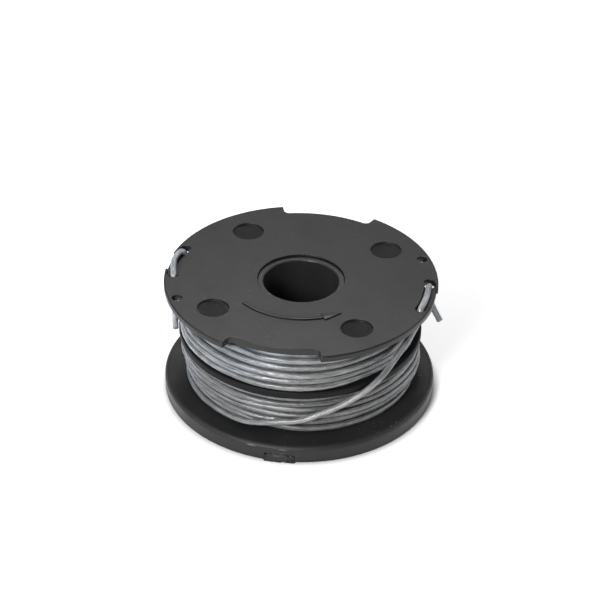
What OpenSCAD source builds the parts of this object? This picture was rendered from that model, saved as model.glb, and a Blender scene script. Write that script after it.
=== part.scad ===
// Twin line spool for a grass trimmer: one moulded body with two windings of nylon line.
// Origin: centre of the base plane, on the bore axis. +Z points up through the bore.

/* [Body] */
// Height of the top face above the base
body_h = 30.6; // [28:0.1:34]
// Radius of the upper and lower flanges
flange_r = 33.1; // [32.5:0.1:36]
// Thickness of the upper flange
top_t = 1.7; // [1.2:0.1:2]
// Height of the lower flange's upper face above the base
low_top = 4.4; // [3.6:0.1:5]
// Thickness of the lower flange's plate
plate_t = 2; // [1.2:0.1:2.6]
// Width of the lower flange's rim, seen from below
rim_w = 1.8; // [1.4:0.1:2.6]
// Radius of the rounded upper edge of the rim
rim_round = 1.2; // [0.6:0.1:1.4]

/* [Hub] */
// Radius of the bore
bore_r = 9.05; // [8.5:0.05:9.3]
// Outer radius of the hub tube
hub_r = 10.5; // [10.2:0.1:11]
// Depth of the hub tube's end below the top face
hub_sunk = 0.65; // [0.3:0.05:0.9]
// Height of the hub tube's lower end above the base
hub_low = 1.2; // [0.6:0.1:2]
// Number of webs between the hub tube and the drum
web_n = 4; // [3:1:8]
// Thickness of a web
web_t = 1.4; // [1:0.1:1.8]

/* [Drum] */
// Outer radius of the drum that the line is wound on
drum_r = 19; // [17:0.5:20]
// Thickness of the drum wall
drum_t = 1.6; // [1.2:0.1:2]
// Radius of the divider between the two windings
divider_r = 29.55; // [29.3:0.05:29.8]
// Height of the divider's lower face above the base
divider_low = 16; // [15.5:0.1:16.2]
// Thickness of the divider
divider_t = 1.9; // [1.6:0.1:2]

/* [Upper flange cut-outs] */
// Radius of the floor of the two wide rim notches
notch_r = 29.8; // [29.4:0.1:30.4]
// Half angle of a wide rim notch
notch_half = 20.8; // [19:0.1:22]
// Radius of the wide notch's inner corners
notch_round = 1.4; // [0.8:0.1:1.6]
// Depth of the two shallow rim notches
nick_d = 0.4; // [0.3:0.05:0.8]
// Half angle of a shallow rim notch
nick_half = 6.5; // [5:0.1:8]
// Distance of the line eyelets from the axis
eyelet_at = 30.9; // [30.7:0.05:31.1]
// Diameter of a line eyelet
eyelet_d = 2.5; // [2.2:0.1:2.6]
// Depth of the line recess between two eyelets
recess_deep = 0.9; // [0.5:0.1:1]
// Inner radius of the line recess
recess_in = 29.75; // [29.5:0.05:29.9]
// Thickness of the wall outside the line recess
recess_wall = 0.6; // [0.5:0.05:0.7]
// Diameter of the four round dimples
dimple_d = 7.5; // [6.5:0.1:8]
// Distance of the dimples from the axis
dimple_at = 24.6; // [23.5:0.1:25.5]
// Depth of the dimples
dimple_deep = 0.6; // [0.3:0.1:0.9]

/* [Gate mark] */
// Angle of the moulding gate's stub on the lower rim
gate_at = -86.4; // [-180:0.1:180]
// Width of the stub
gate_w = 5; // [2:0.5:6]
// Height of the stub
gate_h = 1.9; // [1:0.1:2.4]
// How far the stub stands out of the rim
gate_out = 0.3; // [0.1:0.05:0.5]

/* [Underside] */
// Number of drive lugs
lug_n = 8; // [6:1:10]
// Width of a drive lug
lug_w = 4; // [3:0.5:6]
// Outer radius of the drive lugs
lug_r = 25; // [24:0.5:27]
// Width of the ring that carries the lugs
ring_w = 2; // [1.5:0.5:3]
// Height of the lugs' lower faces above the base
lug_low = 0.8; // [0.6:0.1:1.4]

/* [Line] */
// Diameter of the nylon line
line_d = 1.5; // [1.4:0.1:1.6]
// Radius to the middle of the outermost turns
turn_r = 27.5; // [27:0.1:27.8]
// Number of turns in the outer layer of each winding
turn_n = 5; // [3:1:5]

/* [Hidden] */

$fn = 96;
far = 60;
black = [0.2, 0.2, 0.2];
dark = [0.13, 0.13, 0.13];
nylon = [0.6, 0.61, 0.6];
nylon_dark = [0.45, 0.46, 0.45];
edge = 0.25;
past = 1;
lead_angle = 11;
spare_angle = 30;
drum_in = drum_r - drum_t;
top_low = body_h - top_t;
divider_top = divider_low + divider_t;
plate_low = low_top - plate_t;
rings_per_turn = 24;
wall_gap = 0.06;
turn_gap = 0.46;
pitch = line_d + turn_gap;
swell = 1.4;
entry_angle = 4.5;
core_r = turn_r * cos(180 / rings_per_turn) - line_d / 2 - wall_gap;

// Leads, each from the end of its winding to the cut end of the line, as [radius, degrees, height].
// They rise through one eyelet, lie across the top face and go down through the next eyelet.
lower_route = [[27.6, -112, 5.6], [28.3, -104, 6.3], [29, -95, 7.75], [29.2, -87, 8.8], [29.3, -77, 9.75],
    [29.4, -68, 11.4], [29.6, -58.5, 13.25], [30.2, -49.3, 15.6], [30.5, -43, 17.4], [30.45, -34.7, 20],
    [30.6, -21.5, 24.9], [30.75, -16, 26.4], [30.85, -12.8, 27.5], [30.9, -11.1, 29.3], [30.85, -9.8, 30.3],
    [30.8, -7.2, 30.55], [30.75, 0, 30.5], [30.8, 6.8, 30.55], [30.85, 9.8, 30.25], [30.9, 10.8, 28.8],
    [31.2, 10.6, 26.6], [31.9, 9.8, 24.2], [33.9, 8.4, 20.6]];
upper_route = [[27.6, 88, 18.7], [28.1, 96, 18.9], [29, 105, 19.7], [29.3, 117, 21.4], [29.7, 130, 23.1],
    [30.1, 143, 24.6], [30.5, 155, 25.7], [30.75, 163, 26.3], [30.85, 167.2, 27.5], [30.9, 168.9, 29.3],
    [31.1, 170.2, 30.3], [31.6, 172.8, 30.55], [31.75, 179, 30.5], [31.4, 183.2, 30.5], [31, 187.2, 30.55],
    [30.85, 189.8, 30.25], [30.85, 190.8, 28.8], [30.6, 191, 24], [30.5, 191, 14.9]];

function polar(p) = [p[0] * cos(p[1]), p[0] * sin(p[1]), p[2]];
function unit(v) = v / norm(v);

// A smooth curve through the points, with the given number of steps between two of them
function bend(p, s) =
    let (last = len(p) - 1)
    [for (i = [0 : last - 1], k = [0 : s - 1])
        let (a = p[max(i - 1, 0)], b = p[i], c = p[i + 1], d = p[min(i + 2, last)], t = k / s)
        0.5 * (2 * b + (c - a) * t + (2 * a - 5 * b + 4 * c - d) * t * t
            + (3 * b - a - 3 * c + d) * t * t * t),
    p[last]];

// Directions along a path
function along(p) =
    let (last = len(p) - 1)
    [for (i = [0 : last]) unit(p[min(i + 1, last)] - p[max(i - 1, 0)])];

// Side directions that turn as little as possible along a path
function beside(t) =
    let (first = unit(cross(t[0], abs(t[0][2]) > 0.8 ? [1, 0, 0] : [0, 0, 1])))
    [for (i = 0, n = first; i < len(t); i = i + 1, n = i < len(t) ? unit(n - (n * t[i]) * t[i]) : n) n];

// One closed tube of triangles along a path
module tube(p, d, sides) {
    t = along(p);
    n = beside(t);
    rings = len(p);
    skin = [for (i = [0 : rings - 1], k = [0 : sides - 1])
        let (a = 360 * k / sides, m = cross(t[i], n[i]))
        p[i] + d / 2 * (cos(a) * n[i] + sin(a) * m)];
    walls = [for (i = [0 : rings - 2], k = [0 : sides - 1])
        let (a = i * sides + k, b = i * sides + (k + 1) % sides)
        each [[a, a + sides, b], [b, a + sides, b + sides]]];
    start = [for (k = [1 : sides - 2]) [0, k, k + 1]];
    end = [for (k = [1 : sides - 2]) let (o = (rings - 1) * sides) [o, o + k + 1, o + k]];
    polyhedron(points = skin, faces = concat(start, walls, end), convexity = 8);
}

// Outer layer of a winding: it leaves the face above, winds down, and its last turn runs on into the lead
function winding(high, low, lead) =
    let (start = lead[0] - line_d * unit(lead[1] - lead[0]), start_at = atan2(start[1], start[0]),
        steps = (turn_n - 1) * rings_per_turn, first = low + (turn_n - 1) * pitch)
    concat(
        [for (h = [0, line_d]) polar([turn_r, start_at - entry_angle, high - wall_gap - h])],
        [polar([turn_r, start_at - 0.8 * entry_angle, high - wall_gap - 1.5 * line_d])],
        [for (i = [0 : steps - 1])
            polar([turn_r, start_at + 360 * i / rings_per_turn, first - (first - low) * i / steps
                + swell * (1 - i / steps) * pow(sin(180 * i / rings_per_turn), 2)])],
        [start, lead[0]]);

// Least distance between points at least half a turn apart, less the line's own diameter
function self_gap(p) =
    min([for (i = [0 : len(p) - 1], j = [i + rings_per_turn / 2 : 1 : len(p) - 1]) norm(p[i] - p[j])]) - line_d;

// Length along a path
function path_length(p) = [for (i = [1 : len(p) - 1]) norm(p[i] - p[i - 1])] * [for (i = [1 : len(p) - 1]) 1];

lower_lead = bend([for (p = lower_route) polar(p)], 2);
upper_lead = bend([for (p = upper_route) polar(p)], 2);
lower_turns = winding(divider_low, lower_route[0][2], lower_lead);
upper_turns = winding(top_low, upper_route[0][2], upper_lead);

echo(lower_gap = self_gap(lower_turns), upper_gap = self_gap(upper_turns));
echo(lower_lead = path_length(lower_lead), upper_lead = path_length(upper_lead));

module ring(outer, inner, low, high) {
    translate([0, 0, low])
        difference() {
            cylinder(h = high - low, r = outer);
            translate([0, 0, -past])
                cylinder(h = high - low + 2 * past, r = inner);
        }
}

module wedge(half) {
    polygon([[0, 0], [far * cos(half), far * sin(half)], [far * cos(half), -far * sin(half)]]);
}

// A line eyelet on +X
module eyelet() {
    translate([eyelet_at, 0])
        rotate(90)
            circle(d = eyelet_d);
}

// The line recess on +X: open where the shallow rim notch is, and round at both ends
module line_recess() {
    intersection() {
        wedge(lead_angle);
        difference() {
            circle(r = flange_r - recess_wall);
            circle(r = recess_in);
        }
    }
    intersection() {
        wedge(nick_half);
        difference() {
            circle(r = far);
            circle(r = recess_in);
        }
    }
    for (side = [-1, 1])
        rotate(side * lead_angle)
            eyelet();
}

// A shallow rim notch on +X: everything beyond the floor radius
module rim_nick(floor_r, half) {
    difference() {
        wedge(half);
        circle(r = floor_r);
    }
}

// A rim notch on +X with round inner corners
module rim_notch(floor_r, half, round_r) {
    corner_at = floor_r + round_r;
    lean = asin(round_r / corner_at);
    difference() {
        wedge(half);
        circle(r = corner_at);
    }
    difference() {
        wedge(half - lean);
        circle(r = floor_r);
    }
    for (side = [-1, 1])
        rotate(side * (half - lean))
            translate([corner_at, 0])
                circle(r = round_r, $fn = 32);
}

module sectors(n, start = 0) {
    for (k = [0 : n - 1])
        rotate(start + 360 * k / n)
            children();
}

// ---- Moulded body ----

module upper_flange() {
    color(black)
        difference() {
            rotate_extrude()
                polygon([[hub_r, top_low], [flange_r - edge, top_low], [flange_r, top_low + edge],
                    [flange_r, body_h - edge], [flange_r - edge, body_h], [hub_r, body_h]]);
            translate([0, 0, top_low - past])
                linear_extrude(top_t + 2 * past) {
                    sectors(2, 90)
                        rim_notch(notch_r, notch_half, notch_round);
                    sectors(2)
                        rim_nick(flange_r - nick_d, nick_half);
                    sectors(2)
                        for (a = [-lead_angle, lead_angle, spare_angle])
                            rotate(a)
                                eyelet();
                }
            translate([0, 0, body_h - recess_deep])
                linear_extrude(far)
                    sectors(2)
                        line_recess();
            sectors(4, 45)
                translate([dimple_at, 0, body_h - dimple_deep])
                    cylinder(d = dimple_d, h = far);
        }
}

module hub_tube() {
    end = body_h - hub_sunk;
    color(black)
        rotate_extrude()
            polygon([[bore_r + edge, hub_low], [hub_r, hub_low], [hub_r, end], [bore_r + edge, end],
                [bore_r, end - edge], [bore_r, hub_low + edge]]);
}

module upper_drum() {
    color(dark)
        ring(drum_r, drum_in, divider_top, top_low);
}

module divider_flange() {
    color(dark)
        rotate_extrude()
            polygon([[drum_in, divider_low], [divider_r - edge, divider_low], [divider_r, divider_low + edge],
                [divider_r, divider_top - edge], [divider_r - edge, divider_top], [drum_in, divider_top]]);
}

module lower_drum() {
    color(dark)
        ring(drum_r, drum_in, low_top, divider_low);
}

module core_webs() {
    color(dark)
        intersection() {
            ring(drum_in, hub_r, plate_low, top_low);
            sectors(web_n, 180 / web_n)
                translate([0, -web_t / 2, 0])
                    cube([far, web_t, body_h]);
        }
}

module lower_flange() {
    color(black) {
        rotate_extrude()
            union() {
                translate([drum_in, plate_low])
                    square([flange_r - rim_round - drum_in, plate_t]);
                translate([flange_r - rim_w, 0])
                    square([rim_w - edge, low_top - rim_round]);
                translate([flange_r - rim_w, edge])
                    square([rim_w, low_top - rim_round - edge]);
                translate([flange_r - rim_round, low_top - rim_round])
                    circle(r = rim_round);
            }
        intersection() {
            ring(flange_r + gate_out, flange_r - rim_w / 2, edge, gate_h);
            rotate(gate_at)
                translate([0, -gate_w / 2, 0])
                    cube([far, gate_w, body_h]);
        }
    }
}

module drive_ring() {
    color(dark) {
        ring(drum_in + ring_w, drum_in, lug_low, plate_low);
        intersection() {
            ring(lug_r, drum_in + ring_w / 2, lug_low, plate_low);
            sectors(lug_n, 180 / lug_n)
                translate([0, -lug_w / 2, 0])
                    cube([far, lug_w, body_h]);
        }
    }
}

// ---- Line ----

module upper_line_core() {
    color(nylon_dark)
        ring(core_r, drum_r, divider_top, top_low);
}

module upper_line_winding() {
    color(nylon)
        tube(upper_turns, line_d, 6);
}

module upper_line_lead() {
    color(nylon)
        tube(upper_lead, line_d, 8);
}

module lower_line_core() {
    color(nylon_dark)
        ring(core_r, drum_r, low_top, divider_low);
}

module lower_line_winding() {
    color(nylon)
        tube(lower_turns, line_d, 6);
}

module lower_line_lead() {
    color(nylon)
        tube(lower_lead, line_d, 8);
}

upper_flange();
hub_tube();
upper_drum();
divider_flange();
lower_drum();
core_webs();
lower_flange();
drive_ring();
upper_line_core();
upper_line_winding();
upper_line_lead();
lower_line_core();
lower_line_winding();
lower_line_lead();
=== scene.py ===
import bpy
import random
from math import cos, pi, radians, sin, sqrt
from mathutils import Matrix, Vector


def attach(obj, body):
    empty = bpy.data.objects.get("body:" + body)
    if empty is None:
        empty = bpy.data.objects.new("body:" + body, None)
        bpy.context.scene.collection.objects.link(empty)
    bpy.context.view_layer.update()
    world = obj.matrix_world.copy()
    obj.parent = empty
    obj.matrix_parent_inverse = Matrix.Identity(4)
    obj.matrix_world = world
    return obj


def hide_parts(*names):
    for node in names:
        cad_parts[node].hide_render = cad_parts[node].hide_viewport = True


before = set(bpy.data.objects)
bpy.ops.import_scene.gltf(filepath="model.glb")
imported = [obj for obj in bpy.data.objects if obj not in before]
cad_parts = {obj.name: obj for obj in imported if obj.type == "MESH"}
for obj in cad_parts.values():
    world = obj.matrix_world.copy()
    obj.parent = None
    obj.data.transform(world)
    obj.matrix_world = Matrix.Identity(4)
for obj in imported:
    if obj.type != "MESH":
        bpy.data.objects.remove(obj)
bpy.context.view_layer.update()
scene = bpy.context.scene
mm = 0.001

camera = {
    "azimuth": 12.3,                         # degrees, from -Y towards +X
    "elevation": 34.0,
    "roll": 1.084,
    "distance": 601.3 * mm,
    "aim": Vector((-1.19, 4.61, 21.05)) * mm,
    "fieldOfView": 13.92,                    # degrees across the picture
    "sensor": 36,                            # its width in mm, as Blender counts it
    "nearest": 10 * mm,
}


def placeCamera(c):
    turn, rise = radians(c["azimuth"]), radians(c["elevation"])
    back = Vector((sin(turn) * cos(rise), -cos(turn) * cos(rise), sin(rise)))
    data = bpy.data.cameras.new("camera")
    data.sensor_width = c["sensor"]
    data.angle = radians(c["fieldOfView"])
    data.clip_start = c["nearest"]
    item = bpy.data.objects.new("camera", data)
    scene.collection.objects.link(item)
    look = (-back).to_track_quat("-Z", "Y").to_matrix().to_4x4()
    roll = Matrix.Rotation(radians(c["roll"]), 4, "Z")
    item.matrix_world = Matrix.Translation(c["aim"] + back * c["distance"]) @ look @ roll
    scene.camera = item


placeCamera(camera)
print("camera placed")

line = {
    "diameter": 1.5,      # everything here is in mm and degrees
    "sides": 12,
    "stepsPerTurn": 72,
    "drum": 19.0,         # radius the first layer lies on
    "clearance": 0.03,    # left between the line and a flange
    "seams": (-155, -130, -103, -75, -50, -25, 5, 100),   # where the outer turns' places are given
    "routeGap": 8,        # no such place lies this close before the route
    "wander": 0.1,        # how unevenly the hidden turns are laid
    "waves": ((1.0, 0.37), (0.7, 0.83), (0.5, 1.31)),     # the wander's parts, each a size and a pace
    "slide": 0.45,        # how far a turn may slip sideways into a groove
    "slideTries": 3,      # places looked at on either side
    "slideCost": 0.12,    # how much deeper a place has to be, for each mm of slip
    "softenings": 6,      # rounds that even out the slips
    "tightenings": 80,    # rounds that draw a turn straight between what it rests on
    "joinOver": 24,       # steps in which hidden turns become outer ones, and the last turn its route
    "routePieces": 6,     # steps between two of the route's points
    "uvLong": 100,        # length of line that takes one unit of its UV map
}
lower = {
    "floor": 4.4, "roof": 16.0,
    "hiddenTurns": 33, "turnsPerLayer": 6.6, "seed": 1,
    # the outer turns from first to last, as radius and height at each seam
    "outerTurns": [
        [(28.4, 15.2), (27.9, 15.2), (27.8, 15.1), (27.8, 15.1), (27.8, 15.2), (28.0, 15.2), (28.3, 15.2),
         (26.5, 14.5)],
        [(28.2, 13.7), (28.0, 13.7), (27.6, 13.5), (27.3, 13.5), (27.2, 13.5), (27.7, 13.5), (28.2, 13.5),
         (26.5, 12.9)],
        [(28.0, 12.2), (27.9, 12.1), (27.8, 11.9), (27.7, 11.8), (27.6, 11.6), (28.1, 11.5), (28.6, 11.7),
         (26.5, 11.2)],
        [(27.8, 10.6), (27.7, 10.4), (27.6, 10.2), (27.6, 9.9), (27.5, 9.4), (28.0, 9.5), (28.8, 9.7),
         (26.5, 9.3)],
        [(27.5, 8.8), (27.4, 8.7), (27.4, 8.3), (27.4, 8.0), (27.0, 7.6), (27.4, 7.7), (28.5, 7.9),
         (26.5, 7.6)],
        [(26.9, 7.2), (26.9, 7.1), (26.7, 6.5), (26.8, 5.6), (26.8, 5.3), (27.2, 5.4), (27.6, 5.5),
         (26.5, 5.4)],
        [(26.4, 5.4), (27.0, 5.2)]],
    # from the last turn to the cut end, as radius, angle and height
    "route": [[27.6, -112, 5.6], [28.3, -104, 6.3], [29, -95, 7.75], [29.2, -87, 8.8], [29.3, -77, 9.75],
              [29.4, -68, 11.4], [29.6, -58.5, 13.25], [30.2, -49.3, 15.6], [30.5, -43, 17.4],
              [30.45, -34.7, 20], [30.6, -21.5, 24.9], [30.75, -16, 26.4], [30.85, -12.8, 27.5],
              [30.9, -11.1, 29.3], [30.85, -9.8, 30.3], [30.8, -7.2, 30.53], [30.75, 0, 30.5],
              [30.8, 6.4, 30.5], [30.9, 9.2, 30.1], [30.95, 10.3, 28.8], [31.2, 10.3, 26.6],
              [31.9, 9.8, 24.2], [33.9, 8.4, 20.6]],
}
upper = {
    "floor": 17.9, "roof": 28.9,
    "hiddenTurns": 31, "turnsPerLayer": 6.3, "seed": 3,
    "outerTurns": [
        [(27.8, 26.4), (27.7, 26.1), (27.6, 26.3), (27.6, 26.1), (27.6, 26.3), (27.6, 26.6), (27.6, 26.7),
         (26.5, 25.7)],
        [(28.1, 24.7), (28.0, 24.5), (27.8, 24.0), (27.7, 23.7), (27.6, 24.1), (27.6, 24.7), (27.8, 24.9),
         (26.5, 23.8)],
        [(28.4, 22.6), (28.2, 22.2), (27.9, 21.8), (27.7, 21.4), (27.6, 21.8), (27.6, 22.0), (27.8, 22.5),
         (26.5, 21.8)],
        [(28.5, 20.9), (28.4, 20.6), (28.0, 20.1), (27.8, 19.9), (27.5, 20.2), (27.4, 20.3), (27.8, 20.7),
         (26.5, 20.1)],
        [(28.6, 18.8), (28.4, 18.7), (28.2, 18.7), (27.7, 18.7), (27.5, 18.7), (27.4, 18.7), (27.6, 18.7)]],
    # from the last turn to the cut end, as radius, angle and height
    "route": [[27.6, 88, 18.7], [28.1, 96, 18.9], [29, 105, 19.7], [29.3, 117, 21.4], [29.7, 130, 23.1],
              [30.1, 143, 24.6], [30.5, 155, 25.7], [30.75, 163, 26.3], [30.9, 168.0, 27.5],
              [31.0, 169.6, 29.1], [31.25, 170.8, 30.15], [31.65, 173.2, 30.5], [31.75, 179, 30.5],
              [31.4, 183.2, 30.5], [31, 187.2, 30.53], [30.85, 189.8, 30.25], [30.85, 190.8, 28.8],
              [30.6, 191, 24], [30.5, 191, 14.9]],
}


def polar(radius, angle, height):
    return Vector((radius * cos(radians(angle)), radius * sin(radians(angle)), height))


def within(lowest, value, highest):
    return min(highest, max(lowest, value))


def eased(share):
    return share * share * (3 - 2 * share)


def smoothThrough(points, angles):
    # a smooth curve through (angle, radius, height) points, read at the given angles
    spans = [b[0] - a[0] for a, b in zip(points, points[1:])]
    rows = []
    for axis in (1, 2):
        slopes = [(b[axis] - a[axis]) / span for a, b, span in zip(points, points[1:], spans)]
        tangents = [slopes[0]] + [(a + b) / 2 for a, b in zip(slopes, slopes[1:])] + [slopes[-1]]
        i, row = 0, []
        for angle in angles:
            while i < len(spans) - 1 and angle > points[i + 1][0]:
                i += 1
            t = within(0, (angle - points[i][0]) / spans[i], 1)
            row.append((1 + 2 * t) * (1 - t) ** 2 * points[i][axis] + eased(t) * points[i + 1][axis]
                       + spans[i] * (t * (1 - t) ** 2 * tangents[i] - t * t * (1 - t) * tangents[i + 1]))
        rows.append(row)
    return rows


def outerPoints(w):
    # the given places, and the start of the route
    endRadius, end, endHeight = w["route"][0]
    turns = w["outerTurns"]
    points = []
    for i, row in enumerate(turns):
        shift = 360 * (i - len(turns) + 1)
        for seam, (radius, height) in zip(line["seams"], row):
            points.append((seam + shift, radius, height))
    points = [p for p in points if p[0] < end - line["routeGap"]]
    return points + [(end, endRadius, endHeight)]


def hiddenHeights(w, lowest, highest):
    # up and down between the flanges, a little unevenly
    steps = line["stepsPerTurn"]
    draw = random.Random(w["seed"])
    phases = [draw.uniform(0, 2 * pi) for _ in line["waves"]]
    count = w["hiddenTurns"] * steps
    heights = []
    for k in range(count):
        travel = abs((count - k) / steps / w["turnsPerLayer"] % 2 - 1)       # from 1 to 0 and back
        angle = radians(k * (360 / steps))
        wander = 0
        for (size, pace), phase in zip(line["waves"], phases):
            wander += size * sin(pace * angle + phase)
        height = lowest + (highest - lowest) * travel + line["wander"] * wander
        heights.append(within(lowest, height, highest))
    return heights


def restingRadius(under, height):
    # where the line comes to lie on the turns under it, or on the drum
    d = line["diameter"]
    found = line["drum"] + d / 2
    for otherHeight, otherRadius in under:
        apart = abs(height - otherHeight)
        if apart < d:
            found = max(found, otherRadius + sqrt(d * d - apart * apart))
    return found


def bestSlip(under, height, lowest, highest):
    # how far sideways the line slips to lie deeper
    reach, sideTries = line["slide"], line["slideTries"]
    tries = []
    for s in range(-sideTries, sideTries + 1):
        radius = restingRadius(under, within(lowest, height + s * reach / sideTries, highest))
        tries.append((radius + line["slideCost"] * abs(s) * reach, s))
    return min(tries)[1] * reach / sideTries


def softened(slips, before):
    # before is the last slip of the turn before
    for _ in range(line["softenings"]):
        padded = [before] + slips + [slips[-1]]
        slips = [(a + 2 * b + c) / 4 for a, b, c in zip(padded, padded[1:], padded[2:])]
    return slips


def drawnTight(hold, before):
    # straight from one place that holds the line to the next; before is the last radius of the turn before
    straight = cos(radians(360 / line["stepsPerTurn"]))
    pulled = list(hold)
    for _ in range(line["tightenings"]):
        last = before
        for i in range(len(pulled) - 1):
            chord = 2 * last * pulled[i + 1] * straight / (last + pulled[i + 1])
            pulled[i] = last = max(hold[i], chord)
    return pulled


def layWinding(w):
    # hidden turns up and down between the flanges, each coming to lie on those below it and drawn tight,
    # then the outer turns in their places
    steps, half = line["stepsPerTurn"], line["diameter"] / 2
    step = 360 / steps
    lowest, highest = w["floor"] + half + line["clearance"], w["roof"] - half - line["clearance"]
    end = w["route"][0][1]
    outer = outerPoints(w)
    outerCount = int((end - outer[0][0]) / step) + 1
    angles = [end - (outerCount - 1 - k) * step for k in range(outerCount)]
    outerRadii, outerHeights = smoothThrough(outer, angles)
    heights = hiddenHeights(w, lowest, highest)
    count = len(heights)
    joinFrom = count - line["joinOver"]
    for k in range(line["joinOver"]):
        share = eased(k / line["joinOver"])
        heights[joinFrom + k] = heights[joinFrom + k] * (1 - share) + outerHeights[0] * share
    heights += outerHeights
    wanted = [0] * count + outerRadii
    laid = [[] for _ in range(steps)]
    radii, places = [], []
    for start in range(0, len(heights), steps):
        turn = heights[start:start + steps]
        slips = [0] * len(turn)
        if start < joinFrom - steps:
            slips = [bestSlip(under, height, lowest, highest) for under, height in zip(laid, turn)]
        slips = softened(slips, places[-1] - heights[start - 1] if places else slips[0])
        turn = [within(lowest, height + slip, highest) for height, slip in zip(turn, slips)]
        need = [restingRadius(under, height) for under, height in zip(laid, turn)]
        hold = [max(n, wish) if wish else n for n, wish in zip(need, wanted[start:start + steps])]
        pulled = drawnTight(hold, radii[-1] if radii else hold[0])
        for under, height, radius in zip(laid, turn, pulled):
            under.append((height, radius))
        radii += pulled
        places += turn
    return radii, places


def throughRoute(points, pieces):
    # a smooth curve through the route's own points
    ends = [points[0]] + points + [points[-1]]
    curve = []
    for a, b, c, d in zip(ends, ends[1:], ends[2:], ends[3:]):
        for k in range(pieces):
            t = k / pieces
            curve.append(0.5 * (2 * b + (c - a) * t + (2 * a - 5 * b + 4 * c - d) * t * t
                                + (3 * b - a - 3 * c + d) * t ** 3))
    return curve + [points[-1]]


def linePath(w):
    radii, heights = layWinding(w)
    step = 360 / line["stepsPerTurn"]
    last = len(radii) - 1
    endRadius, end, endHeight = w["route"][0]
    path = []
    for k in range(last):
        share = eased(max(0, 1 - (last - k) / line["joinOver"]))
        path.append(polar(radii[k] * (1 - share) + endRadius * share, end - (last - k) * step,
                          heights[k] * (1 - share) + endHeight * share))
    return path + throughRoute([polar(*p) for p in w["route"]], line["routePieces"])


def sweepLine(name, path):
    # a round tube along the path, with its way round and its length as UV
    sides, radius = line["sides"], line["diameter"] / 2
    rings = len(path)
    along = [(path[min(i + 1, rings - 1)] - path[max(i - 1, 0)]).normalized() for i in range(rings)]
    side = along[0].orthogonal().normalized()
    verts, run, runs = [], 0.0, []
    for i, centre in enumerate(path):
        side = (side - along[i] * side.dot(along[i])).normalized()
        other = along[i].cross(side)
        run += (centre - path[i - 1]).length if i else 0
        runs.append(run)
        for k in range(sides):
            a = 2 * pi * k / sides
            verts.append((centre + (side * cos(a) + other * sin(a)) * radius) * mm)
    faces = []
    for here in range(0, (rings - 1) * sides, sides):
        for k in range(sides):
            following = (k + 1) % sides
            faces.append([here + k, here + following, here + sides + following, here + sides + k])
    faces.append(list(range(sides - 1, -1, -1)))
    faces.append([(rings - 1) * sides + k for k in range(sides)])
    mesh = bpy.data.meshes.new(name)
    mesh.from_pydata(verts, [], faces)
    layer = mesh.uv_layers.new(name="run")
    for face in mesh.polygons[:(rings - 1) * sides]:
        i, k = divmod(face.index, sides)
        for loop, (di, dk) in zip(face.loop_indices, ((0, 0), (0, 1), (1, 1), (1, 0))):
            layer.data[loop].uv = ((k + dk) / sides, runs[i + di] / line["uvLong"])
    mesh.shade_smooth()
    piece = bpy.data.objects.new(name, mesh)
    scene.collection.objects.link(piece)
    return piece, run


def makeLine(name, w, nodes):
    path = linePath(w)
    piece, run = sweepLine(name, path)
    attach(piece, "root")
    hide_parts(*nodes)
    print(name, "is", round(run * mm, 3), "m long")
    return piece, run


lowerLine, lowerRun = makeLine("lowerLine", lower,
                               ("lower_line_core", "lower_line_winding", "lower_line_lead"))
upperLine, upperRun = makeLine("upperLine", upper,
                               ("upper_line_core", "upper_line_winding", "upper_line_lead"))
print("lines wound")

edges = {
    "steps": 2,
    "leastBend": 30,                # degrees, what counts as an edge
    "smooth": 35,                   # degrees, up to which a bend is shaded as a curve
    "flat": 0.5,                    # degrees, up to which faces count as one
    "merge": 0.001,                 # mm
    "flatsLead": 100,               # how strongly large faces lead the shading, out of 100
}


def selectOnly(piece):
    bpy.ops.object.select_all(action="DESELECT")
    piece.select_set(True)
    bpy.context.view_layer.objects.active = piece


def editAll(piece):
    selectOnly(piece)
    bpy.ops.object.mode_set(mode="EDIT")
    bpy.ops.mesh.select_all(action="SELECT")


def applyPlace(piece):
    selectOnly(piece)
    bpy.ops.object.transform_apply(location=True, rotation=True, scale=True)


def roundEdges(piece, width):
    selectOnly(piece)
    rounding = piece.modifiers.new("edges", "BEVEL")
    rounding.width = width * mm
    rounding.segments = edges["steps"]
    rounding.limit_method = "ANGLE"
    rounding.angle_limit = radians(edges["leastBend"])
    rounding.use_clamp_overlap = False
    bpy.ops.object.modifier_apply(modifier="edges")


body = {                            # node: edge rounding in mm, material slot
    "upper_flange": (0.14, "flange_plastic"),
    "hub_tube": (0.14, "flange_plastic"),
    "divider_flange": (0.25, "core_plastic"),
    "lower_flange": (0.15, "flange_plastic"),
    "drive_ring": (0.15, "core_plastic"),
    "core_webs": (0.1, "core_plastic"),
}


def camelName(name):
    first, *rest = name.split("_")
    return first + "".join(word.capitalize() for word in rest)


def roundedCopy(node, width):
    # the node's own shape with its moulded edges rounded
    piece = node.copy()
    piece.data = node.data.copy()
    piece.parent = None
    scene.collection.objects.link(piece)
    editAll(piece)
    bpy.ops.mesh.remove_doubles(threshold=edges["merge"] * mm)
    bpy.ops.mesh.dissolve_limited(angle_limit=radians(edges["flat"]))
    bpy.ops.object.mode_set(mode="OBJECT")
    roundEdges(piece, width)
    editAll(piece)
    bpy.ops.mesh.dissolve_degenerate(threshold=edges["merge"] * mm)      # slivers that the rounding left
    bpy.ops.object.mode_set(mode="OBJECT")
    bpy.ops.object.shade_smooth_by_angle(angle=radians(edges["smooth"]))
    flats = piece.modifiers.new("flats", "WEIGHTED_NORMAL")
    flats.keep_sharp = True
    flats.weight = edges["flatsLead"]
    bpy.ops.object.modifier_apply(modifier="flats")
    return piece


moulded = {}
for name, (width, slotName) in body.items():
    piece = roundedCopy(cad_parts[name], width)
    piece.name = piece.data.name = camelName(name)
    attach(piece, "root")
    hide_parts(name)
    moulded[name] = piece
print("body rounded")

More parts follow.
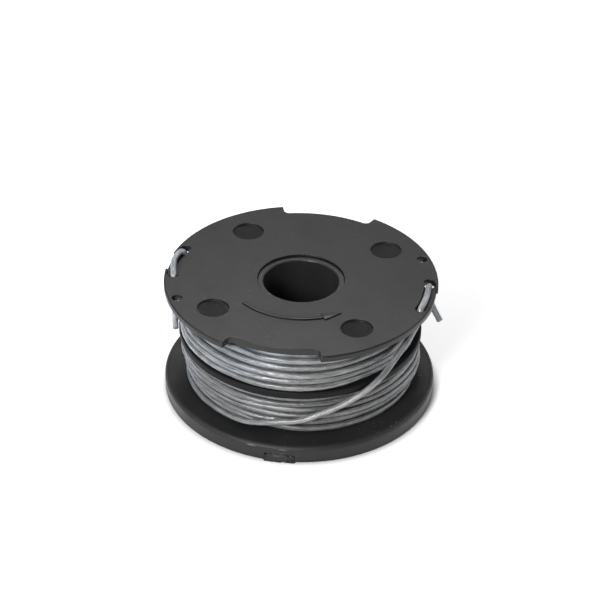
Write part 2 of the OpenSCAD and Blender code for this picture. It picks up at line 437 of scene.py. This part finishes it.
arrow = {
    "top": 30.6, "proud": 0.3,      # mm
    "radius": 17.4, "width": 0.85,
    "start": -129, "end": -60,      # degrees
    "headLong": 4.7, "headWide": 2.4,
    "spinSteps": 40,
    "edge": 0.04,                   # its rounding
}
gateScar = {
    "angle": -85.4, "radius": 33.05, "wide": 7.0, "deep": 0.5, "tall": 1.7, "foot": 0.1,
    "cuts": 9, "rough": 0.42, "seed": 4,
    "reach": 33.38,                 # how far out the torn edges go
    "lowest": 0.03,                 # so that none of them dips below the foot
    "smooth": 50,                   # degrees, so that the tears stay crisp
}


def makeArrow(a):
    # a bar spun round the axis, and a flat head at its end
    bpy.ops.object.select_all(action="DESELECT")
    bpy.ops.mesh.primitive_plane_add(size=1, location=(0, 0, 0))
    bar = bpy.context.object
    bar.scale = (a["width"] * mm, 2 * a["proud"] * mm, 1)
    bar.rotation_euler = (pi / 2, 0, 0)
    bar.location = (a["radius"] * mm, 0, a["top"] * mm)
    applyPlace(bar)
    bar.rotation_euler = (0, 0, radians(a["start"]))
    applyPlace(bar)
    editAll(bar)
    bpy.ops.mesh.spin(steps=a["spinSteps"], angle=radians(a["start"] - a["end"]), center=(0, 0, 0),
                      axis=(0, 0, 1))
    bpy.ops.mesh.select_all(action="SELECT")
    bpy.ops.mesh.remove_doubles(threshold=edges["merge"] * mm)
    bpy.ops.mesh.normals_make_consistent(inside=False)
    bpy.ops.object.mode_set(mode="OBJECT")
    bpy.ops.mesh.primitive_cylinder_add(vertices=3, radius=1, depth=2 * a["proud"] * mm)
    head = bpy.context.object
    head.scale = (a["headWide"] * mm / sqrt(3), a["headLong"] * mm / 1.5, 1)     # from sqrt(3) by 1.5
    applyPlace(head)
    middle = radians(a["end"]) + a["headLong"] / 3 / a["radius"]     # a third of the head lies behind it
    head.rotation_euler = (0, 0, middle)
    head.location = (a["radius"] * cos(middle) * mm, a["radius"] * sin(middle) * mm, a["top"] * mm)
    applyPlace(head)
    selectOnly(bar)
    head.select_set(True)
    bpy.ops.object.join()
    roundEdges(bar, a["edge"])
    bpy.ops.object.shade_smooth_by_angle(angle=radians(edges["smooth"]))
    return bar


def makeGateScar(g):
    # the torn stub that is left where the moulding was cut from its runner
    bpy.ops.object.select_all(action="DESELECT")
    bpy.ops.mesh.primitive_cube_add(size=1)
    scar = bpy.context.object
    scar.scale = (g["deep"] * mm, g["wide"] * mm, g["tall"] * mm)
    applyPlace(scar)
    editAll(scar)
    bpy.ops.mesh.subdivide(number_cuts=g["cuts"])
    bpy.ops.transform.vertex_random(offset=g["rough"] * mm, seed=g["seed"])
    bpy.ops.object.mode_set(mode="OBJECT")
    angle = radians(g["angle"])
    scar.rotation_euler = (0, 0, angle)
    scar.location = (g["radius"] * cos(angle) * mm, g["radius"] * sin(angle) * mm,
                     (g["tall"] / 2 + g["foot"]) * mm)
    applyPlace(scar)
    for vert in scar.data.vertices:
        out = vert.co.xy.length
        if out > g["reach"] * mm:
            vert.co.xy *= g["reach"] * mm / out
        vert.co.z = max(vert.co.z, g["lowest"] * mm)
    bpy.ops.object.shade_smooth_by_angle(angle=radians(g["smooth"]))
    return scar


directionArrow = makeArrow(arrow)
gateStub = makeGateScar(gateScar)
for piece, name in ((directionArrow, "directionArrow"), (gateStub, "gateScar")):
    piece.name = piece.data.name = name
    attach(piece, "root")
print("marks made")


class Wiring:
    # short ways to add and join nodes, down to the main shader's inputs
    def __init__(self, owner, main="Principled BSDF"):
        owner.use_nodes = True
        self.owner = owner
        self.nodes, self.links = owner.node_tree.nodes, owner.node_tree.links
        self.inputs = self.nodes[main].inputs

    def put(self, value, socket):
        if isinstance(value, bpy.types.NodeSocket):
            self.links.new(value, socket)
        else:
            socket.default_value = value

    def give(self, name, value):
        self.put(value, self.inputs[name])

    def math(self, kind, *values):
        node = self.nodes.new("ShaderNodeMath")
        node.operation = kind
        for value, socket in zip(values, node.inputs):
            self.put(value, socket)
        return node.outputs[0]

    def rays(self):
        return self.nodes.new("ShaderNodeLightPath").outputs

    def coords(self, which):
        return self.nodes.new("ShaderNodeTexCoord").outputs[which]

    def split(self, vector):
        node = self.nodes.new("ShaderNodeSeparateXYZ")
        self.links.new(vector, node.inputs[0])
        return node.outputs

    def joined(self, x, y, z):
        node = self.nodes.new("ShaderNodeCombineXYZ")
        for value, socket in zip((x, y, z), node.inputs):
            self.put(value, socket)
        return node.outputs[0]

    def mapped(self, vector, how, values):
        # how is "Scale" or "Location"
        node = self.nodes.new("ShaderNodeMapping")
        self.links.new(vector, node.inputs["Vector"])
        node.inputs[how].default_value = values
        return node.outputs[0]

    def length(self, vector):
        node = self.nodes.new("ShaderNodeVectorMath")
        node.operation = "LENGTH"
        self.links.new(vector, node.inputs[0])
        return node.outputs["Value"]

    def noise(self, vector, scale, detail, rough):
        node = self.nodes.new("ShaderNodeTexNoise")
        node.inputs["Scale"].default_value = scale
        node.inputs["Detail"].default_value = detail
        node.inputs["Roughness"].default_value = rough
        self.links.new(vector, node.inputs["Vector"])
        return node.outputs["Fac"]

    def spread(self, value, low, high, toLow=0.0, toHigh=1.0):
        node = self.nodes.new("ShaderNodeMapRange")
        node.inputs["From Min"].default_value = low
        node.inputs["From Max"].default_value = high
        node.inputs["To Min"].default_value = toLow
        node.inputs["To Max"].default_value = toHigh
        self.links.new(value, node.inputs["Value"])
        return node.outputs[0]

    def mixed(self, share, one, other, blend="MIX"):
        node = self.nodes.new("ShaderNodeMix")
        node.data_type = "RGBA"
        node.blend_type = blend
        self.put(share, node.inputs["Factor"])
        for value, socket in ((one, node.inputs[6]), (other, node.inputs[7])):       # the colour sockets
            if isinstance(value, tuple):
                value = (*value, 1)
            self.put(value, socket)
        return node.outputs[2]

    def times(self, colour, other):
        return self.mixed(1.0, colour, other, "MULTIPLY")

    def bump(self, height, distance, strength, onto=None):
        node = self.nodes.new("ShaderNodeBump")
        node.inputs["Strength"].default_value = strength
        node.inputs["Distance"].default_value = distance
        self.links.new(height, node.inputs["Height"])
        if onto is not None:
            self.links.new(onto, node.inputs["Normal"])
        return node.outputs["Normal"]


studio = {
    "ambient": 0.3,                 # what the pale room gives to dull surfaces
    "room": 0.37,                   # what gloss shows of it
    "lamps": {                      # place, size and power
        "key": ((-0.1, 0.355, 0.5), 0.2, 0.85),
        "side": ((-0.14, -0.54, 0.38), 0.2, 3.9),
        "fill": ((-0.4, -0.2, 0.3), 0.4, 0.55),
        "edge": ((0.45, 0.2, 0.16), 0.25, 0.38),
    },
    "floorSize": 6, "floorDrop": 0.02,       # m, and mm below the foot so the two don't meet
    "floorShade": 0.86, "floorRough": 0.9,
    "floorLift": 0.5,                        # the glow that makes it pale in the picture
    "liftFrom": 33.2, "liftTo": 35.0,        # mm from the axis; within this the glow fades out, a painted shadow that keeps a dark line round the foot
}


def lightStudio(s):
    for name, (place, size, power) in s["lamps"].items():
        data = bpy.data.lights.new(name, "AREA")
        data.size, data.energy = size, power
        item = bpy.data.objects.new(name, data)
        item.location = place
        item.rotation_euler = (-Vector(place)).to_track_quat("-Z", "Y").to_euler()
        scene.collection.objects.link(item)
    scene.world = bpy.data.worlds.new("studio")
    w = Wiring(scene.world, "Background")
    w.give("Color", (1, 1, 1, 1))
    rays = w.rays()
    seen = w.math("MAXIMUM", rays["Is Camera Ray"], rays["Is Transmission Ray"])
    gloss = w.spread(rays["Is Glossy Ray"], 0.0, 1.0, s["ambient"], s["room"])
    w.give("Strength", w.math("MAXIMUM", seen, gloss))


def layFloor(s):
    bpy.ops.object.select_all(action="DESELECT")
    bpy.ops.mesh.primitive_plane_add(size=s["floorSize"], location=(0, 0, -s["floorDrop"] * mm))
    floor = bpy.context.object
    applyPlace(floor)
    floor.name = "floor"
    w = Wiring(bpy.data.materials.new("floorPaper"))
    w.give("Base Color", (s["floorShade"], s["floorShade"], s["floorShade"], 1))
    w.give("Roughness", s["floorRough"])
    rays = w.rays()
    gloss = w.math("MAXIMUM", rays["Is Glossy Ray"], rays["Is Transmission Ray"])
    seen = w.math("MAXIMUM", rays["Is Camera Ray"], gloss)
    # painted shadow: the glow fades out toward the foot, so the floor stays darker in a ring round it,
    # where its real shadow also falls
    outsidePaintedShadow = w.spread(w.length(w.coords("Object")), s["liftFrom"] * mm, s["liftTo"] * mm)
    w.give("Emission Color", (1, 1, 1, 1))
    w.give("Emission Strength", w.math("MULTIPLY", w.math("MULTIPLY", seen, s["floorLift"]), outsidePaintedShadow))
    floor.data.materials.append(w.owner)


lightStudio(studio)
layFloor(studio)
scene.view_settings.view_transform = "Standard"
print("studio lit")

plasticPatterns = {
    # noises as scale, detail and roughness, and ranges as the values between which they show
    "clouds": (60, 4, 0.6), "cloudRange": (0.35, 0.7),
    "gloss": (140, 4, 0.6), "glossRange": (0.3, 0.75), "glossBy": (-0.05, 0.1),
    "dimpleNoise": (380, 4, 0.65), "dimpleRange": (0.3, 0.7),
    "lines": (190, 4, 0.65), "lineShape": (1, 9, 4),
    "specks": (1500, 2, 0.5), "markRange": (0.68, 0.76),
    "patches": (60, 2, 0.5), "patchRange": (0.48, 0.6),
    "crestGlintRange": (1.2, 0.4),
    "scuffAndGlintColour": (0.16, 0.16, 0.165),
    "fine": (2400, 2, 0.6), "fineBump": 0.3,
    "coarse": (230, 3, 0.5), "coarseDeep": 0.1, "coarseBump": 0.12,       # deep in mm
}
flangeLook = {
    "dark": (0.006, 0.006, 0.0062), "pale": (0.011, 0.011, 0.0112), "roughness": 0.36, "specular": 0.42,
    "dimpleAt": 24.6, "dimpleRadius": 3.6, "dimpleEdge": 0.4, "dimpleWaver": 0.45,       # mm
    "dimpleAbove": 29.5,                                    # mm, so the plate's underside stays plain
    "dimpleShade": 0.35, "dimpleRough": 0.35,
    "grain": 0.05, "scuff": 0.6,                            # mm and share
}
lowerLook = {
    "dark": (0.011, 0.011, 0.0113), "pale": (0.016, 0.016, 0.0165), "roughness": 0.36, "specular": 0.36,
    "matteFrom": 3.1, "matteTo": 3.55, "matteBy": 0.15,     # mm up, where the rim rounds over
    "grain": 0.05, "scuff": 0.6,
    "crestGlints": [((-4.25, -32.73, 3.65), (1.3, 0.5, 0.14)),        # painted highlight: pale streaks on the rim's crest at the front, as middle and reach in mm
                  ((3.4, -32.86, 3.6), (1.2, 0.5, 0.08))],
}
# painted light: the hub is a paler copy of the flange plastic, so its bore and the sheen on its ring show
# brighter
hubLook = {
    "dark": (0.017, 0.017, 0.0175), "pale": (0.025, 0.025, 0.0255), "roughness": 0.32, "specular": 0.42,
    "grain": 0.05, "scuff": 0.4,
}
coreLook = {
    "dark": (0.003, 0.003, 0.0035), "pale": (0.006, 0.006, 0.0065), "roughness": 0.55, "specular": 0.18,
    "grain": 0.04, "scuff": 0.0,
}
nylonLook = {
    # lengths in mm, noises and ranges as above
    "dark": (0.022, 0.024, 0.027), "pale": (0.25, 0.256, 0.266), "roughness": 0.22, "specular": 1.0,
    "streakLong": 3.0,
    "streaks": (1.0, 4, 0.65), "streakShare": 0.4,
    "threads": (1.0, 4, 0.7), "threadShare": 0.6, "threadShape": (2.4, 2.4, 0.35),
    "toneRange": (0.36, 0.64),
    "roughRange": (0.35, 0.65), "roughBy": (-0.08, 0.18),
    "bump": 0.18, "bumpBy": 0.8,
    "tints": (22, 2, 0.5), "tintRange": (0.35, 0.65),
    "cool": (0.93, 0.99, 1.08), "warm": (1.02, 1.01, 0.95),
    "stretches": (1.0, 2, 0.5), "stretchRange": (0.35, 0.65),
    "stretchLong": 40, "stretchBy": 0.35,    # long paler and darker stretches, so neighbouring turns differ
    "leadLong": 80, "leadPaintedLight": 1.5, "leadFade": 10,        # painted light: the last mm, which lie in the open, are painted paler as if more strongly lit
    "endLong": 29, "endFade": 3,             # painted light: the last mm, painted paler again where they bend over the flange, standing in for the light they catch there
    # painted light: shade paints the whole upper line paler and the lower line darker, as more light falls
    # on the upper winding
    "upper": {"shade": 1.2, "phase": 10.0, "endPaintedLight": 1.15},        # phase is where the stretches fall
    "lower": {"shade": 0.86, "phase": 6.0, "endPaintedLight": 1.85},
}


def mouldedPlastic(name, look):
    w, p = Wiring(bpy.data.materials.new(name)), plasticPatterns
    place = w.coords("Object")
    x, y, z = w.split(place)
    cloudy = w.spread(w.noise(place, *p["clouds"]), *p["cloudRange"])
    colour = w.mixed(cloudy, look["dark"], look["pale"])
    gloss = (look["roughness"] + by for by in p["glossBy"])
    rough = w.spread(w.noise(place, *p["gloss"]), *p["glossRange"], *gloss)
    if "dimpleAt" in look:
        # one dimple stands for all four, because they lie alike about both axes
        at = look["dimpleAt"] / sqrt(2) * mm
        across = w.math("SUBTRACT", w.math("ABSOLUTE", x), at)
        along = w.math("SUBTRACT", w.math("ABSOLUTE", y), at)
        away = w.math("SQRT", w.math("ADD", w.math("POWER", across, 2.0), w.math("POWER", along, 2.0)))
        waver = look["dimpleWaver"] * mm
        uneven = w.spread(w.noise(place, *p["dimpleNoise"]), *p["dimpleRange"], -waver, waver)
        inside = w.spread(w.math("ADD", away, uneven), (look["dimpleRadius"] + look["dimpleEdge"]) * mm,
                          (look["dimpleRadius"] - look["dimpleEdge"]) * mm)
        inside = w.math("MULTIPLY", inside, w.math("GREATER_THAN", z, look["dimpleAbove"] * mm))
        colour = w.mixed(inside, colour, tuple(look["dimpleShade"] * part for part in look["dark"]))
        rough = w.math("ADD", rough, w.math("MULTIPLY", inside, look["dimpleRough"]))
    if "matteBy" in look:
        matte = w.spread(z, look["matteFrom"] * mm, look["matteTo"] * mm, 0.0, look["matteBy"])
        rough = w.math("ADD", rough, matte)
    if look["scuff"]:
        # fine pale scratch lines and specks, and the painted highlight streaks on the lower rim's crest
        lines = w.noise(w.mapped(place, "Scale", p["lineShape"]), *p["lines"])
        specks = w.noise(place, *p["specks"])
        marks = w.math("ADD", w.spread(lines, *p["markRange"]), w.spread(specks, *p["markRange"]))
        patches = w.spread(w.noise(place, *p["patches"]), *p["patchRange"])
        marks = w.math("MULTIPLY", w.math("MULTIPLY", marks, patches), look["scuff"])
        # painted highlight: pale streaks on the lower flange's rim crest, standing in for its glints
        for centre, reach in look.get("crestGlints", ()):
            off = w.mapped(place, "Location", [-part * mm for part in centre])
            off = w.length(w.mapped(off, "Scale", [1 / (part * mm) for part in reach]))
            marks = w.math("ADD", marks, w.spread(off, *p["crestGlintRange"]))
        colour = w.mixed(w.math("MINIMUM", marks, 1.0), colour, p["scuffAndGlintColour"])
    w.give("Base Color", colour)
    w.give("Roughness", rough)
    w.give("Specular IOR Level", look["specular"])
    fine = w.bump(w.noise(place, *p["fine"]), look["grain"] * mm, p["fineBump"])
    w.give("Normal", w.bump(w.noise(place, *p["coarse"]), p["coarseDeep"] * mm, p["coarseBump"], fine))
    return w.owner


def drawnNylon(name, look, own, lineLong):
    # the pattern goes round the line without a seam, and is drawn out along it
    w = Wiring(bpy.data.materials.new(name))
    uvLong = line["uvLong"]
    around, along, _ = w.split(w.coords("UV"))
    turn = w.math("MULTIPLY", around, 2 * pi)
    run = w.math("MULTIPLY", along, uvLong / look["streakLong"])
    place = w.joined(w.math("COSINE", turn), w.math("SINE", turn), run)
    streaks = w.noise(place, *look["streaks"])
    threads = w.noise(w.mapped(place, "Scale", look["threadShape"]), *look["threads"])
    both = w.math("ADD", w.math("MULTIPLY", streaks, look["streakShare"]),
                  w.math("MULTIPLY", threads, look["threadShare"]))
    colour = w.mixed(w.spread(both, *look["toneRange"]), look["dark"], look["pale"])
    # painted light: the tints are scaled by the line's shade, paler for the upper line and darker for the
    # lower
    cool, warm = (tuple(own["shade"] * part for part in look[tone]) for tone in ("cool", "warm"))
    tints = w.spread(w.noise(w.coords("Object"), *look["tints"]), *look["tintRange"])
    colour = w.times(colour, w.mixed(tints, cool, warm))
    run = w.math("MULTIPLY", along, uvLong / look["stretchLong"])
    stretch = w.noise(w.joined(own["phase"], 0.0, run), *look["stretches"])
    stretch = w.spread(stretch, *look["stretchRange"], 1 - look["stretchBy"], 1 + look["stretchBy"])
    colour = w.times(colour, w.joined(stretch, stretch, stretch))
    # painted light: the lead and the cut end are painted paler, standing in for the light that falls on
    # them
    for long, fade, paler in ((look["leadLong"], look["leadFade"], look["leadPaintedLight"]),
                              (look["endLong"], look["endFade"], own["endPaintedLight"])):
        start, fade = (lineLong - long) / uvLong, fade / uvLong
        colour = w.mixed(w.spread(along, start - fade, start + fade), colour, w.times(colour, (paler,) * 3))
    w.give("Base Color", colour)
    gloss = (look["roughness"] + by for by in look["roughBy"])
    w.give("Roughness", w.spread(threads, *look["roughRange"], *gloss))
    w.give("Specular IOR Level", look["specular"])
    w.give("Normal", w.bump(both, look["bump"] * mm, look["bumpBy"]))
    return w.owner


flangePlastic = mouldedPlastic("flangePlastic", flangeLook)
lowerPlastic = mouldedPlastic("lowerPlastic", lowerLook)
hubPlastic = mouldedPlastic("hubPlastic", hubLook)
corePlastic = mouldedPlastic("corePlastic", coreLook)
upperNylon = drawnNylon("upperNylon", nylonLook, nylonLook["upper"], upperRun)
lowerNylon = drawnNylon("lowerNylon", nylonLook, nylonLook["lower"], lowerRun)


def dress(piece, material):
    piece.data.materials.clear()
    piece.data.materials.append(material)


dress(lowerLine, lowerNylon)
dress(upperLine, upperNylon)
for name, piece in moulded.items():
    dress(piece, flangePlastic if body[name][1] == "flange_plastic" else corePlastic)
# painted light: the paler hub copy stands in for the sheen on the hub ring
dress(moulded["hub_tube"], hubPlastic)
dress(moulded["lower_flange"], lowerPlastic)
dress(directionArrow, flangePlastic)
dress(gateStub, lowerPlastic)
for name in ("upper_drum", "lower_drum"):
    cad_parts[name].material_slots[0].material = corePlastic
print("materials set")
